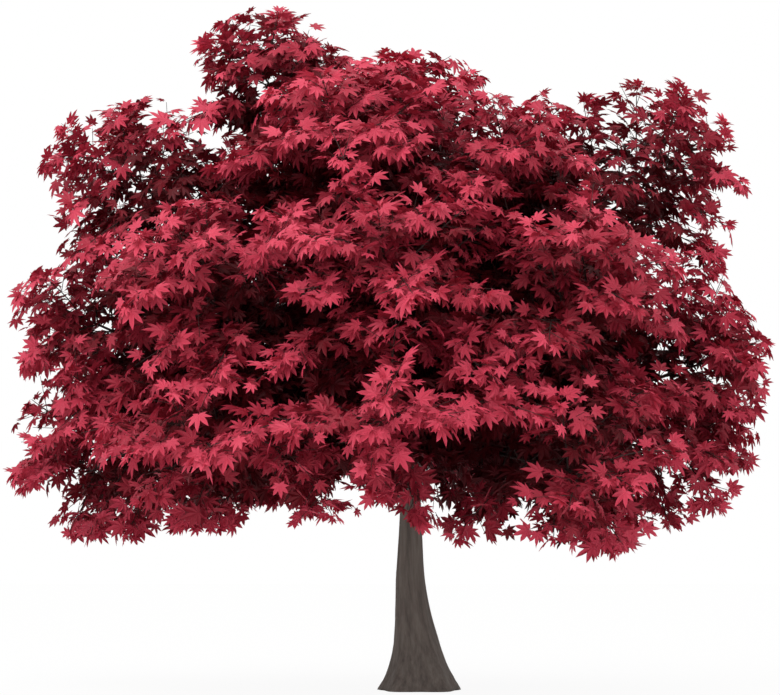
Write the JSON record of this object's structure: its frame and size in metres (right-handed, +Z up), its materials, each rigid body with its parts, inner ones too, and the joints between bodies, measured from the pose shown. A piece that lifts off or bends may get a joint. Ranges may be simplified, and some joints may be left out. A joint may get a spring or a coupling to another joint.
{
  "type": "red-leaved japanese maple tree",
  "caption": "Garden-size red-leaved maple tree on a flared trunk, with fanned boughs under a broad, layered crown of deeply cut crimson leaves.",
  "frame": {"origin": "middle of the flat cut under the trunk, at ground level", "axes": "+Z up along the trunk; -Y is the front of the tree; +X to the right as seen from the front"},
  "size_m": [3.2971, 3.0092, 2.9971],
  "materials": {
    "bark": "smooth dark grey-brown bark with soft upright streaks, dull",
    "leaves": "crimson leaves, slightly satin, brighter on their upper faces"
  },
  "bodies": {
    "root": {"bough_low_back": "bark", "bough_low_back_left": "bark", "bough_low_back_right": "bark", "bough_low_front": "bark", "bough_low_front_left": "bark", "bough_low_front_right": "bark", "bough_low_left": "bark", "bough_low_right": "bark", "bough_mid_back": "bark", "bough_mid_back_left": "bark", "bough_mid_back_right": "bark", "bough_mid_front": "bark", "bough_mid_front_left": "bark", "bough_mid_front_right": "bark", "bough_mid_left": "bark", "bough_mid_right": "bark", "bough_spire_left": "bark", "bough_top_left": "bark", "bough_top_right": "bark", "bough_upper_back": "bark", "bough_upper_back_right": "bark", "bough_upper_front": "bark", "bough_upper_front_right": "bark", "leader": "bark", "low_back": "leaves", "low_back_left": "leaves", "low_back_right": "leaves", "low_front": "leaves", "low_front_left": "leaves", "low_front_right": "leaves", "low_left": "leaves", "low_right": "leaves", "mid_back": "leaves", "mid_back_left": "leaves", "mid_back_right": "leaves", "mid_front": "leaves", "mid_front_left": "leaves", "mid_front_right": "leaves", "mid_left": "leaves", "mid_right": "leaves", "spire_left": "leaves", "top_centre": "leaves", "top_left": "leaves", "top_right": "leaves", "trunk": "bark", "upper_back": "leaves", "upper_back_right": "leaves", "upper_front": "leaves", "upper_front_right": "leaves"}
  },
  "joints": []
}
